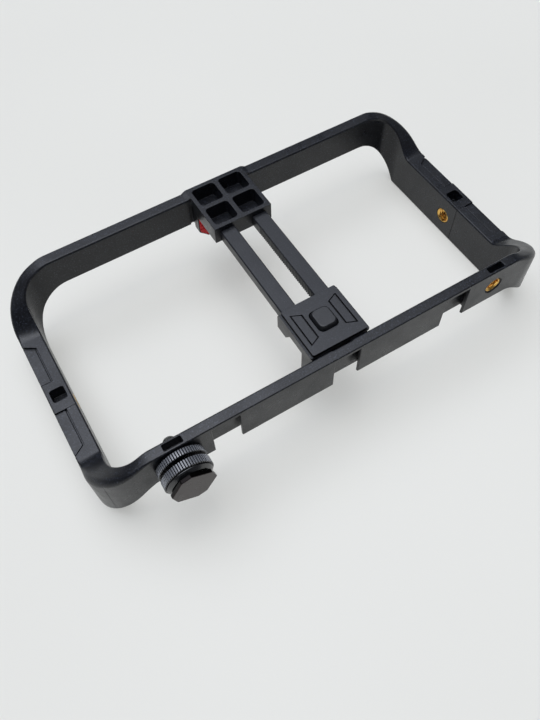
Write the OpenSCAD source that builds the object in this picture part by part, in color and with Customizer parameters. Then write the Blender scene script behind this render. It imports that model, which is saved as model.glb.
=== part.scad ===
// Phone video cage: a ring frame that lies back side up on its two grips, with a sliding
// phone clamp on two bars, three cold shoes, threaded inserts and a screw-in shoe adapter.
// Millimetres. X runs along the rails, Y from the shoe rail to the back rail, Z up from the surface.

/* [Frame] */
// Overall length, outside of one grip to outside of the other
frame_l = 227.4; // [224:0.1:236]
// Width from the outer face of the shoe rail to the outer face of the back rail
frame_w = 114.4; // [112:0.1:120]
// Outside radius of the corners, seen from above
corner_r = 18; // [16:0.5:18.5]
// Inside radius of the front corners, seen from above
front_in_r = 11; // [9:0.5:12]
// Inside radius of the rear corners, seen from above
rear_in_r = 8; // [6:0.5:12]
// Distance from the end of the frame to where a rail leaves its corner
corner_x = 25.7; // [24:0.1:28]
// Distance from the shoe rail's face to where a grip leaves its front corner
front_corner_y = 26.5; // [25:0.1:28]
// Distance from the back rail's face to where a grip leaves its rear corner
rear_corner_y = 22.4; // [20:0.1:23]
// Rounding of the outer top edge in the middle of a corner
corner_round = 3.4; // [1:0.1:4]
// Height of the shoe rail's underside above the surface
rail_lift = 24.8; // [22:0.1:27]
// Height of the shoe rail
rail_h = 20.7; // [20:0.1:22]
// Thickness of the shoe rail
shoe_rail_t = 5.1; // [5:0.1:6]
// Height of the back rail, whose top is level with the shoe rail's
back_rail_h = 16.4; // [15.5:0.1:18]
// Thickness of the back rail
back_rail_t = 5.7; // [5.2:0.1:6.5]
// Width of a grip
grip_t = 10.3; // [9.8:0.1:12]
// Height of a grip
grip_h = 22.6; // [21.5:0.1:24]
// Distance of the grips' middle from the frame's middle, toward the back rail
grip_mid = 2.5; // [1:0.1:4]
// Chamfer along the frame's edges
edge = 0.6; // [0.3:0.1:0.9]

/* [Grip details] */
// Side of the square hole in a grip's top
grip_hole_w = 6.5; // [5.5:0.1:7]
// Corner radius of that hole
grip_hole_r = 1.2; // [0.6:0.1:1.6]
// Width of a recessed finger panel
panel_w = 5.5; // [4.5:0.1:6.5]
// Depth of a finger panel
panel_d = 0.9; // [0.5:0.1:1.5]
// Distance from a grip's middle to the near end of a finger panel
panel_near = 7.5; // [6:0.1:9]
// Length of a finger panel along its inner side
panel_l = 20; // [16:0.5:22]
// How far a finger panel's far end slants
panel_slant = 3.5; // [2:0.1:4]
// Width of the groove along a finger panel's edge
panel_groove = 0.7; // [0.4:0.1:0.8]
// Depth of that groove below the panel
panel_groove_d = 0.4; // [0.3:0.1:0.6]
// Distance from a grip's middle to the seam between the two frame halves
seam_d = 8.2; // [7.6:0.1:10]
// Length of the tongue that crosses the seam
tongue_l = 16; // [14:0.5:18]

/* [Cold shoes] */
// Distance between neighbouring cold shoes
shoe_pitch = 56.8; // [52:0.1:58]
// Opening between a shoe's lips
shoe_open = 12.7; // [12.5:0.1:13]
// Width of the channel behind the lips
shoe_w = 18.8; // [18.5:0.1:19.2]
// Depth of the channel behind the lips
shoe_d = 2.2; // [2:0.1:2.4]
// Thickness of the lips
shoe_lip = 1.4; // [1.2:0.1:1.5]
// Height of the wall that closes the top of a shoe
shoe_top = 2; // [1.5:0.1:3]
// Height of the notch under a shoe's back wall
shoe_notch = 2; // [1:0.1:3]

/* [Threaded inserts] */
// Radius of a 1/4 inch thread, at its crests in the hole
thread_r = 3.2; // [3.15:0.01:3.3]
// Pitch of the thread
thread_pitch = 1.27; // [1.2:0.01:1.4]
// Outside radius of a brass insert
insert_r = 4.1; // [3.9:0.1:4.3]
// Distance of the shoe rail's inserts from the ends of the frame
insert_in = 35.2; // [34:0.1:37]
// Height of the shoe rail's inserts above its underside
insert_up = 10.2; // [9.5:0.1:11]
// Depth of the recess around an insert in the shoe rail
recess_d = 0.5; // [0.3:0.1:0.8]
// Radius of that recess
recess_r = 4.5; // [4.4:0.1:5]
// Length of the inserts in the grips and in the back rail
insert_l = 7.2; // [6:0.1:7.2]
// Height of the grips' inserts above the surface
grip_insert_z = 11; // [10:0.1:11.4]
// Height of the back rail's insert above the shoe rail's underside
tripod_up = 8.8; // [8.6:0.1:9]
// Length of the slot in the rail's top above each insert
slot_l = 8.1; // [6:0.1:8.4]
// Width of that slot
slot_w = 2.9; // [2:0.1:3]
// Depth of that slot
slot_d = 5.5; // [3:0.1:6]

/* [Clamp bars] */
// Gap between the two bars
bar_gap = 9.3; // [9.2:0.1:9.6]
// Width of a bar
bar_w = 7.5; // [7:0.1:7.8]
// Height of a bar
bar_h = 5.3; // [5:0.1:5.6]
// Height of the bars' undersides above the shoe rail's underside
bar_up = 13.7; // [13.5:0.1:13.9]
// How far a bar's end sits in the shoe rail
bar_seat = 1; // [0.6:0.1:1.1]
// Pitch of the rack teeth on the right bar
tooth_p = 1.2; // [1:0.1:1.6]
// Depth of the rack teeth
tooth_d = 0.5; // [0.3:0.1:0.6]
// Number of rack teeth
tooth_n = 56; // [40:1:56]

/* [Fixed jaw] */
// Width of the fixed jaw block
block_w = 30; // [29:0.1:32]
// Length of the block, from the back rail's outer face toward the shoe rail
block_l = 29.1; // [28:0.1:30]
// How far the block's top stands above the rails
block_rise = 1.1; // [0.8:0.1:1.5]
// Height of the block
block_h = 9; // [8.8:0.1:10]
// Depth of its four pockets
pocket_d = 7.8; // [7:0.1:7.9]
// Thickness of the ribs between the pockets
pocket_rib = 2.4; // [2:0.1:3]
// Thickness of the wall around the pockets
pocket_wall = 2.1; // [1.9:0.1:2.5]
// Corner radius of the pockets
pocket_r = 1.8; // [1:0.1:2.2]
// Thickness of a jaw wall
jaw_t = 4.6; // [4.2:0.1:4.8]
// How far the jaws reach below the shoe rail
jaw_drop = 2.4; // [1.5:0.1:3]
// Cut across each lower corner of the jaws
jaw_cut = 4.5; // [3.5:0.1:5.5]
// Depth of the groove in the back rail on each side of the fixed jaw
jaw_groove_d = 1.2; // [0.6:0.1:1.5]
// Thickness of the red pads
pad_t = 1.8; // [1.6:0.1:1.8]
// How far the pads stand out of their recesses
pad_out = 0.4; // [0.3:0.1:0.6]
// Margin of the pad inside the jaw wall's outline
pad_rim = 0.6; // [0.5:0.1:1]

/* [Slider] */
// Length of the slider's cover along the bars
cover_l = 25.2; // [24.6:0.1:26]
// Width of the raised part of the cover
cover_w = 26.8; // [26:0.1:27.2]
// Width of the cover's lower step
cover_step_w = 28.8; // [28.2:0.1:29.2]
// Height of the cover's top above the rails
cover_rise = 1.6; // [1.5:0.1:2]
// Height of the cover's lower step
cover_step_h = 1.4; // [1.2:0.1:1.8]
// Width of the slider body
slider_w = 27.4; // [27:0.1:27.8]
// Clearance between the slider and the bars
slide_gap = 0.25; // [0.2:0.01:0.35]
// Gap between the slider's cover and the shoe rail when it is fully open
open_gap = 0.6; // [0.5:0.1:1]
// Width of the notch in the shoe rail's top edge beside the cover
notch_w = 9.6; // [8:0.1:11]
// How deep that notch goes into the rail's edge
notch_d = 0.9; // [0.5:0.1:1.2]
// How far the slider body reaches past the cover's back edge
slider_tail = 2.3; // [2:0.1:2.4]
// Thickness of the slider's jaw
slider_jaw_t = 7.8; // [7.4:0.1:8]
// How far the slider's foot reaches below the bars
foot_drop = 5; // [4.8:0.1:5.2]
// Length of that foot
foot_l = 6.8; // [6:0.1:7.5]

/* [Release button] */
// Width of the button at the cover's face
button_w = 9.2; // [8.2:0.1:9.4]
// Length of the button at the cover's face
button_l = 10.6; // [9:0.1:10.8]
// Corner radius of the button
button_r = 2.2; // [1.5:0.1:2.6]
// How far the button stands above the cover
button_rise = 2; // [1.5:0.1:2.5]
// Taper of the button's sides over its rise
button_taper = 1; // [0.6:0.1:1.2]
// Travel of the button
button_travel = 1.5; // [1.2:0.1:1.5]
// Sideways travel of the pawl for each millimetre of the button
cam_ratio = 0.6; // [0.5:0.05:0.65]

/* [Shoe adapter] */
// Radius of the knurled nuts
nut_r = 10.5; // [9.8:0.1:10.8]
// Number of ridges in the knurl
knurl_n = 52; // [48:2:72]
// Depth of the knurl
knurl_d = 0.5; // [0.3:0.05:0.6]
// Thickness of the lock nut
lock_nut_t = 3.1; // [2.6:0.1:3.4]
// Thickness of the clamp nut
clamp_nut_t = 3.8; // [3.2:0.1:4]
// Thickness of the smooth flange under the clamp nut
flange_t = 1.8; // [1.4:0.1:2]
// Radius of the smooth flange
flange_r = 9.8; // [9:0.1:10]
// Radius of the washer behind the lock nut
washer_r = 7.5; // [6.5:0.1:8.5]
// Thickness of that washer
washer_t = 0.5; // [0.4:0.05:0.7]
// Distance between the lock nut and the clamp nut
nut_gap = 1.4; // [1.3:0.1:1.8]
// Side of the square foot
foot_side = 17.2; // [17:0.1:18.2]
// Thickness of the square foot
plate_t = 1.8; // [1.6:0.1:2]
// Turn of the foot about its screw
foot_turn = 58; // [0:1:90]
// Length of screw that stands out inside the frame
stud_tip = 5; // [4:0.1:7]

/* [Screws] */
// Radius of the small screws' shanks
screw_r = 1; // [0.9:0.05:1.1]
// Radius of the small screws' heads
screw_head_r = 1.9; // [1.7:0.1:2]
// Height of the small screws' heads
screw_head_h = 1.2; // [1:0.1:1.3]
// Radius of the frame screws' shanks
frame_screw_r = 1.4; // [1.2:0.1:1.5]
// Radius of the frame screws' heads
frame_head_r = 2.7; // [2.4:0.1:2.8]

/* [Hidden] */
$fn = 64;

// fits and small clearances
press = 0.03;
loose = 0.1;
cut = 1;

// frame faces and ends
y_front = -frame_w / 2;
y_back = frame_w / 2;
y_front_in = y_front + shoe_rail_t;
y_back_in = y_back - back_rail_t;
x_out = frame_l / 2;
x_in = x_out - grip_t;
rail_half = x_out - corner_x;
front_grip = y_back - front_corner_y;
rear_grip = y_back - rear_corner_y;
z_rail_top = rail_lift + rail_h;
z_back_rail = z_rail_top - back_rail_h;
seam_y = grip_mid - seam_d;
corner_steps = 24;
front_dip = [1.42, 0.2, 0.81, 1, 0.93];
rear_dip = [1.6, 0.3, 2.08, 0.05, 0.71];
rear_lead = 6;

// tongue and its two screws on each side
tongue_w = grip_t - 5;
tongue_z = [5, grip_h - 5.2];
frame_screw_y = [seam_y - 0.3 * tongue_l, seam_y - 0.75 * tongue_l];
frame_head_z = [0.5, 2.2];
frame_screw_top = 13;

// grip hole and inserts
insert_x = x_out - insert_in;
grip_hole_d = grip_h - grip_insert_z - insert_r - 0.9;
insert_z = rail_lift + insert_up;
tripod_z = rail_lift + tripod_up;
slot_in = shoe_rail_t / 2;

// bars
bar_in = bar_gap / 2;
bar_out = bar_in + bar_w;
z_bar = rail_lift + bar_up;
z_bar_top = z_bar + bar_h;
bar_edge = 0.5;
block_y = y_back - block_l;
rack_y = y_front_in + 7;

// fixed jaw
z_block_top = z_rail_top + block_rise;
z_block = z_block_top - block_h;
pocket_x = (block_w - 2 * pocket_wall - pocket_rib) / 2;
pocket_y = (block_l - 2 * pocket_wall - pocket_rib) / 2;
ramp_l = 2.2;
jaw_z = rail_lift - jaw_drop;
rest_z = z_bar - foot_drop;
block_foot_x = [7.5, 11.5];
block_foot_y = [3.4, 8];
jaw_groove_w = 1.8;
jaw_groove_top = z_back_rail + 12.7;
bar_screw_in = 7;

// slider, drawn fully open
cover_y = y_front_in + open_gap;
cover_back = cover_y + cover_l;
slider_y = cover_y + 0.4;
slider_back = cover_back + slider_tail;
slider_jaw_y = slider_y + slider_jaw_t;
z_slide_top = z_bar_top + slide_gap;
z_slide_under = z_bar - slide_gap;
z_cover_step = z_slide_top + cover_step_h;
z_cover_top = z_rail_top + cover_rise;
keel_half = bar_in - slide_gap;
hump_half = 11;
foot_slope = 3.2;

// button, pawl and their springs
button_y = cover_y + cover_l / 2 + 0.3;
button_gap = 0.2;
z_cap = z_slide_top + button_travel + loose;
stem_x = [-3.2, 1.6];
stem_half = 3.2;
tab_out = 7;
tab_h = 1;
tab_x = [-3, 1];
z_pawl = rest_z + 1.1;
pawl_h = 3;
z_stem = z_pawl + pawl_h + button_travel + 0.3;
z_wedge = z_pawl + button_travel + 0.1;
wedge_half = 1.2;
pawl_half = 2.8;
pawl_back = -3.4;
pawl_tip = bar_in - 0.15;
tooth_block = 2.9;
ramp_foot = 0.4;
cam_gap = 0.12;
spring_x = -1;
spring_wire = 0.25;
spring_r = 1.25;
well_r = 1.8;
z_well = rest_z + 3.4;
pawl_spring_x = -8.9;

// cover screws
cover_screw_y = [slider_y + 3.6, slider_back - 5];
cover_screw_z = rest_z + 2;
cover_screw_top = z_cover_top - 0.9;

// adapter stack, measured outward from the shoe rail's face
washer_at = loose;
lock_nut_at = washer_at + washer_t + loose;
clamp_nut_at = lock_nut_at + lock_nut_t + nut_gap;
flange_at = clamp_nut_at + clamp_nut_t + loose;
foot_at = flange_at + flange_t + 0.6;
adapter_l = foot_at + plate_t;
stud_r = thread_r - 0.05;
stud_root = stud_r - 0.45;
neck_r = 2;
neck_l = 1.1;
foot_cuts = [3, 4.4];

// The part's origin lies under the middle of its bounding box, adapter included.
module placed() {
    translate([0, adapter_l / 2, 0])
        children();
}

// Extrudes a shape drawn in (y, z) from x0 to x1.
module along_x(x0, x1) {
    translate([x0, 0, 0])
        rotate([90, 0, 90])
            linear_extrude(x1 - x0)
                children();
}

// Extrudes a shape drawn in (x, z) from y0 to y1.
module along_y(y0, y1) {
    translate([0, y1, 0])
        rotate([90, 0, 0])
            linear_extrude(y1 - y0)
                children();
}

// Box between two opposite corners.
module box(a, b) {
    translate(a)
        cube(b - a);
}

// Cylinder along Y from y0 to y1.
module rod_y(x, z, r, y0, y1) {
    translate([x, y1, z])
        rotate([90, 0, 0])
            cylinder(r = r, h = y1 - y0);
}

// Rectangle with rounded corners, centred.
module rounded(w, l, r) {
    square([w - 2 * r, l], center = true);
    square([w, l - 2 * r], center = true);
    for (sx = [-1, 1], sy = [-1, 1])
        translate([sx * (w / 2 - r), sy * (l / 2 - r)])
            circle(r);
}

// Shows a shape on both sides of the YZ plane.
module both_sides() {
    children();
    mirror([1, 0, 0])
        children();
}

// Section that the whole frame shares: a rectangle with chamfered corners, whose outer top
// edge is rounded by r instead.
function section(outer, inner, z0, z1, r) =
    let (s = sign(inner - outer))
    concat(
        [[outer + s * edge, z0], [outer, z0 + edge]],
        [for (a = [0:22.5:90]) [outer + s * r * (1 - cos(a)), z1 - r * (1 - sin(a))]],
        [[inner - s * edge, z1], [inner, z1 - edge], [inner, z0 + edge], [inner - s * edge, z0]]
    );

// Point at share t of a corner's plan line: straight, arc of radius r, straight to the grip.
function plan_point(t, x_end, y_end, r, y_grip, lead) =
    let (
        first = x_end - r - rail_half + lead,
        arc = PI * r / 2,
        last = y_end - r - y_grip,
        s = t * (first + arc + last),
        angle = 90 - (s - first) * 180 / PI / r
    )
    s < first ? [rail_half - lead + s, y_end]
    : s < first + arc ? [x_end - r + r * cos(angle), y_end - r + r * sin(angle)]
    : [x_end, y_end - r - (s - first - arc)];

// Share of a corner's height left where its top would be at share u, ending softly at the grip.
function soft_end(u, soft) = (u < soft ? u * u / 2 / soft : u - soft / 2) / (1 - soft / 2);

// A corner's section at share t, from 0 at the rail to 1 at the grip. Its underside leaves the
// rail earlier than its top by lead. Its shape numbers are the power that its top comes down by,
// how softly that ends, the power that its underside comes down by, how softly that goes, and
// the share at which the underside is down.
function corner_ring(t, rail_t, z_rail, y_grip, in_r, shape, lead) =
    let (
        outer = plan_point(t, x_out, y_back, corner_r, y_grip, lead),
        inner = plan_point(t, x_in, y_back - rail_t, in_r, y_grip, lead),
        width = norm(inner - outer),
        whole = x_out - rail_half + lead + y_back - y_grip - (2 - PI / 2) * corner_r,
        top = max(0, t * whole - lead) / (whole - lead),
        z1 = grip_h + (z_rail_top - grip_h) * soft_end(1 - pow(top, shape[0]), shape[1]),
        under = pow(min(1, t / shape[4]), shape[2]),
        z0 = z_rail * (1 - under + shape[3] * (under - (1 - cos(180 * under)) / 2)),
        r = edge + (corner_round - edge) * sin(180 * top)
    )
    [for (p = section(0, width, z0, z1, r))
        let (q = outer + (inner - outer) * p[0] / width)
        [q[0], q[1], p[1]]];

// Solid through a row of rings, each listed clockwise as seen from the first ring's outside.
module loft(rings) {
    n = len(rings[0]);
    last = len(rings) - 1;
    points = [for (ring = rings, p = ring) p];
    sides = [for (i = [0:last - 1], k = [0:n - 1])
        let (a = i * n + k, b = i * n + (k + 1) % n)
        each [[a, b + n, b], [a, a + n, b + n]]];
    start = [for (k = [0:n - 1]) k];
    end = [for (k = [0:n - 1]) last * n + n - 1 - k];
    polyhedron(points, concat(sides, [start, end]));
}

// Corner from the +Y rail to the +X grip, dipping from the rail to the grip.
module corner(rail_t, z_rail, y_grip, in_r, shape, lead) {
    loft([for (i = [0:corner_steps])
        corner_ring(1 - pow(1 - i / corner_steps, 1.25), rail_t, z_rail, y_grip, in_r, shape, lead)]);
}

// Outline of a finger panel, inset by m from its walls and open to the outer side.
function panel_outline(m) =
    let (x0 = x_out - panel_w, far = panel_near + panel_l, slope = panel_slant / panel_w)
    [
        [x0 + m, panel_near + m], [x_out + cut, panel_near + m],
        [x_out + cut, far + panel_slant + slope * cut - m * sqrt(1 + slope * slope)],
        [x0 + m, far + slope * m - m * sqrt(1 + slope * slope)]
    ];

// Recessed finger panel on the right grip's top, with a deeper groove along its walls.
module finger_panel() {
    translate([0, grip_mid, grip_h - panel_d])
        linear_extrude(panel_d + cut)
            polygon(panel_outline(0));
    translate([0, grip_mid, grip_h - panel_d - panel_groove_d])
        linear_extrude(panel_groove_d + cut)
            difference() {
                polygon(panel_outline(0));
                polygon(panel_outline(panel_groove));
            }
}

// Cold shoe cut: lip opening, channel and the notch under its back wall.
module shoe_cut(x) {
    channel_y = y_front + shoe_lip;
    z1 = z_rail_top - shoe_top;
    box([x - shoe_open / 2, y_front - cut, rail_lift - cut], [x + shoe_open / 2, channel_y + cut, z1]);
    box([x - shoe_w / 2, channel_y, rail_lift - cut], [x + shoe_w / 2, channel_y + shoe_d, z1]);
    box([x - shoe_w / 2, channel_y, rail_lift - cut],
        [x + shoe_w / 2, y_front_in + cut, rail_lift + shoe_notch]);
}

// Room for an insert in the right end of the shoe rail, with the slot above it.
module rail_insert_cut() {
    rod_y(insert_x, insert_z, insert_r + press, y_front - cut, y_front_in + cut);
    rod_y(insert_x, insert_z, recess_r, y_front - cut, y_front + recess_d);
    translate([insert_x, y_front + slot_in, z_rail_top - slot_d])
        linear_extrude(slot_d + cut)
            rounded(slot_l, slot_w, 0.5);
}

// Socket in the right grip of the front half for the tongue, with its screw holes.
module socket_cut() {
    mid = (x_in + x_out) / 2;
    half = tongue_w / 2 + loose;
    box([mid - half, seam_y - tongue_l - loose, tongue_z[0] - loose],
        [mid + half, seam_y + cut, tongue_z[1] + loose]);
    for (y = frame_screw_y)
        translate([mid, y, 0]) {
            translate([0, 0, -cut])
                cylinder(r = frame_head_r + loose, h = frame_head_z[1] + cut);
            cylinder(r = frame_screw_r + loose, h = tongue_z[0] + cut);
        }
}

// Tongue on the right grip of the rear half, with its screw holes.
module tongue() {
    mid = (x_in + x_out) / 2;
    difference() {
        box([mid - tongue_w / 2, seam_y - tongue_l, tongue_z[0]],
            [mid + tongue_w / 2, seam_y + cut, tongue_z[1]]);
        for (y = frame_screw_y)
            translate([mid, y, tongue_z[0] - cut])
                cylinder(r = frame_screw_r + press, h = frame_screw_top - tongue_z[0] + cut + loose);
    }
}

// Grip of constant section on the right side, between two Y positions.
module grip(y0, y1) {
    along_y(y0, y1)
        polygon(section(x_out, x_in, 0, grip_h, edge));
}

// Front half: the shoe rail, its two corners and the ends of the grips.
module front_frame() {
    color("#3a3b3e")
        placed()
            difference() {
                union() {
                    along_x(-rail_half, rail_half)
                        polygon(section(y_front, y_front_in, rail_lift, z_rail_top, edge));
                    both_sides() {
                        mirror([0, 1, 0])
                            corner(shoe_rail_t, rail_lift, front_grip, front_in_r, front_dip, 0);
                        grip(-front_grip, seam_y);
                    }
                }
                for (i = [-1:1])
                    shoe_cut(i * shoe_pitch);
                box([-notch_w / 2, y_front_in - notch_d, z_rail_top - 1.3],
                    [notch_w / 2, y_front_in + cut, z_rail_top + cut]);
                both_sides() {
                    rail_insert_cut();
                    socket_cut();
                    translate([0, 2 * grip_mid, 0])
                        mirror([0, 1, 0])
                            finger_panel();
                    box([bar_in - press, y_front_in - bar_seat, z_bar - press],
                        [bar_out + press, y_front_in + cut, z_bar_top + press]);
                }
            }
}

// Outline of a jaw wall in (x, z), inset by m, with its lower corners cut.
function jaw_outline(half, z1, m) = [
    [-half + m, z1 - m], [-half + m, jaw_z + jaw_cut + m * 0.4],
    [-half + jaw_cut + m * 0.4, jaw_z + m], [half - jaw_cut - m * 0.4, jaw_z + m],
    [half - m, jaw_z + jaw_cut + m * 0.4], [half - m, z1 - m]
];

// Fixed jaw block with its wall, ramps and feet, before its pockets are cut.
module jaw_block() {
    half = block_w / 2;
    box([-half, block_y, z_block], [half, y_back, z_block_top]);
    along_y(y_back_in - jaw_t, y_back_in)
        polygon(jaw_outline(half, z_block + cut, 0));
    both_sides() {
        along_y(y_back_in, y_back)
            polygon([[half, z_rail_top], [half + ramp_l, z_rail_top], [half, z_block_top]]);
        box([block_foot_x[0], block_y + block_foot_y[0], rest_z],
            [block_foot_x[1], block_y + block_foot_y[1], z_block + loose]);
    }
}

// The four pockets in the block's top.
module jaw_pockets() {
    x = (pocket_rib + pocket_x) / 2;
    y = (pocket_rib + pocket_y) / 2;
    for (sx = [-1, 1], sy = [-1, 1])
        translate([sx * x, block_y + block_l / 2 + sy * y, z_block_top - pocket_d])
            linear_extrude(pocket_d + cut)
                rounded(pocket_x, pocket_y, pocket_r);
}

// Rear half: the back rail with the fixed jaw, its two corners and the middles of the grips.
module rear_frame() {
    color("#3a3b3e")
        placed()
            difference() {
                union() {
                    along_x(rear_lead - rail_half, rail_half - rear_lead)
                        polygon(section(y_back, y_back_in, z_back_rail, z_rail_top, edge));
                    jaw_block();
                    both_sides() {
                        corner(back_rail_t, z_back_rail, rear_grip, rear_in_r, rear_dip, rear_lead);
                        grip(seam_y, rear_grip);
                        tongue();
                    }
                }
                jaw_pockets();
                along_y(y_back_in - jaw_t - cut, y_back_in - jaw_t + pad_t - pad_out)
                    polygon(jaw_outline(block_w / 2, z_block, pad_rim - press));
                rod_y(0, tripod_z, insert_r + press, y_back - insert_l - loose, y_back + cut);
                both_sides() {
                    box([block_w / 2, y_back_in - cut, z_back_rail - cut],
                        [block_w / 2 + jaw_groove_w, y_back_in + jaw_groove_d, jaw_groove_top]);
                    finger_panel();
                    translate([x_in - cut, grip_mid, grip_insert_z])
                        rotate([0, 90, 0])
                            cylinder(r = insert_r + press, h = insert_l + loose + cut);
                    translate([(x_in + x_out) / 2, grip_mid, grip_h - grip_hole_d])
                        linear_extrude(grip_hole_d + cut)
                            rounded(grip_hole_w, grip_hole_w, grip_hole_r);
                    rod_y((bar_in + bar_out) / 2, z_bar + bar_h / 2, screw_r + loose,
                        block_y - cut, block_y + pocket_wall + cut);
                }
            }
}

// Screw standing along +Z with its head's underside at the origin.
module screw(r, head_r, head_h, l) {
    cylinder(r = r, h = l);
    difference() {
        translate([0, 0, -head_h])
            cylinder(r = head_r, h = head_h);
        for (turn = [0, 90])
            rotate(turn)
                translate([-head_r * 0.6, -0.25, -head_h - cut])
                    cube([head_r * 1.2, 0.5, cut + head_h * 0.5]);
    }
}

// Four screws that hold the tongues in the front half, driven from below.
module frame_screws() {
    color("#8a8c90")
        placed()
            both_sides()
                for (y = frame_screw_y)
                    translate([(x_in + x_out) / 2, y, frame_head_z[1]])
                        screw(frame_screw_r, frame_head_r, frame_head_z[1] - frame_head_z[0],
                            frame_screw_top - frame_head_z[1]);
}

// Section of a bar in (x, z), with its top edges chamfered.
function bar_section() = [
    [bar_in, z_bar], [bar_out, z_bar], [bar_out, z_bar_top - bar_edge], [bar_out - bar_edge, z_bar_top],
    [bar_in + bar_edge, z_bar_top], [bar_in, z_bar_top - bar_edge]
];

// Pilot hole for the screw in the right bar's back end.
module bar_pilot() {
    rod_y((bar_in + bar_out) / 2, z_bar + bar_h / 2, screw_r + press,
        block_y - bar_screw_in - 2, block_y + cut);
}

// Plain bar on the left.
module left_bar() {
    color("#45474b")
        placed()
            mirror([1, 0, 0])
                difference() {
                    along_y(y_front_in - bar_seat, block_y)
                        polygon(bar_section());
                    bar_pilot();
                }
}

// Right bar, with rack teeth cut into its inner side.
module right_bar() {
    color("#45474b")
        placed()
            difference() {
                along_y(y_front_in - bar_seat, block_y)
                    polygon(bar_section());
                bar_pilot();
                for (i = [0:tooth_n - 1])
                    translate([bar_in, rack_y + i * tooth_p, z_bar - cut])
                        linear_extrude(bar_h + 2 * cut)
                            polygon([
                                [-0.1, -tooth_p / 2 + 0.1], [tooth_d, 0], [-0.1, tooth_p / 2 - 0.1]
                            ]);
            }
}

// Screws through the block's front wall into the bars, driven from the pockets.
module bar_screws() {
    color("#8a8c90")
        placed()
            both_sides()
                translate([(bar_in + bar_out) / 2, block_y + pocket_wall, z_bar + bar_h / 2])
                    rotate([90, 0, 0])
                        screw(screw_r, screw_head_r, screw_head_h, pocket_wall + bar_screw_in);
}

// Pad with three grip grooves, its face at y and its outline inset from the jaw's.
module pad(half, z1, y, side) {
    back = y - side * pad_t;
    difference() {
        along_y(min(y, back), max(y, back))
            polygon(jaw_outline(half, z1, pad_rim));
        for (i = [1:3])
            translate([-half, y, jaw_z + jaw_cut + i * 2.2])
                rotate([45, 0, 0])
                    translate([0, -0.25, -0.25])
                        cube([2 * half, 0.5, 0.5]);
    }
}

// Red pad on the fixed jaw, facing the shoe rail.
module fixed_jaw_pad() {
    color("#b8242a")
        placed()
            pad(block_w / 2, z_block, y_back_in - jaw_t - pad_out, -1);
}

// Brass insert along Y between y0 and y1, bored right through.
module insert_y(x, z, y0, y1) {
    difference() {
        rod_y(x, z, insert_r, y0, y1);
        rod_y(x, z, thread_r, y0 - cut, y1 + cut);
    }
}

// Brass insert in the right grip, opening inward.
module grip_insert() {
    translate([x_in, grip_mid, grip_insert_z])
        rotate([0, 90, 0])
            difference() {
                cylinder(r = insert_r, h = insert_l);
                translate([0, 0, -cut])
                    cylinder(r = thread_r, h = insert_l + 2 * cut);
            }
}

module grip_insert_left() {
    color("#c9973f")
        placed()
            mirror([1, 0, 0])
                grip_insert();
}

module grip_insert_right() {
    color("#c9973f")
        placed()
            grip_insert();
}

module shoe_rail_insert_left() {
    color("#c9973f")
        placed()
            insert_y(-insert_x, insert_z, y_front + recess_d, y_front_in);
}

module shoe_rail_insert_right() {
    color("#c9973f")
        placed()
            insert_y(insert_x, insert_z, y_front + recess_d, y_front_in);
}

// Tripod thread in the middle of the back rail.
module tripod_insert() {
    color("#c9973f")
        placed()
            insert_y(0, tripod_z, y_back - insert_l, y_back);
}

// Side view of the slider body in (y, z): jaw, keel, foot and sloped tail.
function slider_profile() = [
    [slider_y, z_slide_top], [slider_y, jaw_z], [slider_jaw_y, jaw_z], [slider_jaw_y, z_slide_under],
    [slider_back - foot_l - foot_slope, z_slide_under], [slider_back - foot_l, rest_z],
    [slider_back, rest_z], [slider_back, z_slide_top - 2.6], [slider_back - slider_tail, z_slide_top]
];

// Slider body: rides on both bars and holds the jaw, the pawl and the button.
module slider_body() {
    half = slider_w / 2;
    color("#3a3b3e")
        placed()
            difference() {
                union() {
                    along_x(-half, half)
                        polygon(slider_profile());
                    box([-hump_half, slider_jaw_y - cut, rest_z],
                        [hump_half, slider_back - foot_l, z_slide_under + loose]);
                }
                both_sides() {
                    // window for a bar
                    box([bar_in - slide_gap, slider_y - cut, z_slide_under],
                        [bar_out + slide_gap, slider_back + cut, z_slide_top + cut]);
                    // cut across the jaw's lower corner
                    along_y(slider_y - cut, slider_jaw_y + cut)
                        polygon([
                            [half - jaw_cut, jaw_z], [half - jaw_cut, jaw_z - cut],
                            [half + cut, jaw_z - cut], [half + cut, jaw_z + jaw_cut],
                            [half, jaw_z + jaw_cut]
                        ]);
                }
                // recess for the pad
                along_y(slider_jaw_y - pad_t + pad_out, slider_jaw_y + cut)
                    polygon(jaw_outline(half, rest_z, pad_rim - press));
                // channel for the pawl
                box([pawl_spring_x - loose, button_y - pawl_half - 0.3, z_pawl - loose],
                    [pawl_tip + 0.2, button_y + pawl_half + 0.3, z_slide_under + loose]);
                // room for the button's stem and the pawl's teeth
                box([stem_x[0] - 0.4, button_y - stem_half - 0.3, z_pawl - loose],
                    [keel_half + loose, button_y + stem_half + 0.3, z_slide_top + cut]);
                // room for the button's tabs, over the two spring wells
                box([tab_x[0] - 0.4, button_y - tab_out - 0.4, z_slide_top - tab_h - button_travel - 0.4],
                    [tab_x[1] + 0.4, button_y + tab_out + 0.4, z_slide_top + cut]);
                for (side = [-1, 1])
                    translate([spring_x, button_y + side * (stem_half + tab_out) / 2, z_well])
                        cylinder(r = well_r, h = z_slide_top - z_well);
                for (y = cover_screw_y)
                    translate([0, y, 0]) {
                        cylinder(r = screw_head_r + 0.3, h = cover_screw_z + screw_head_h);
                        cylinder(r = screw_r + loose, h = z_slide_top + cut);
                    }
            }
}

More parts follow.
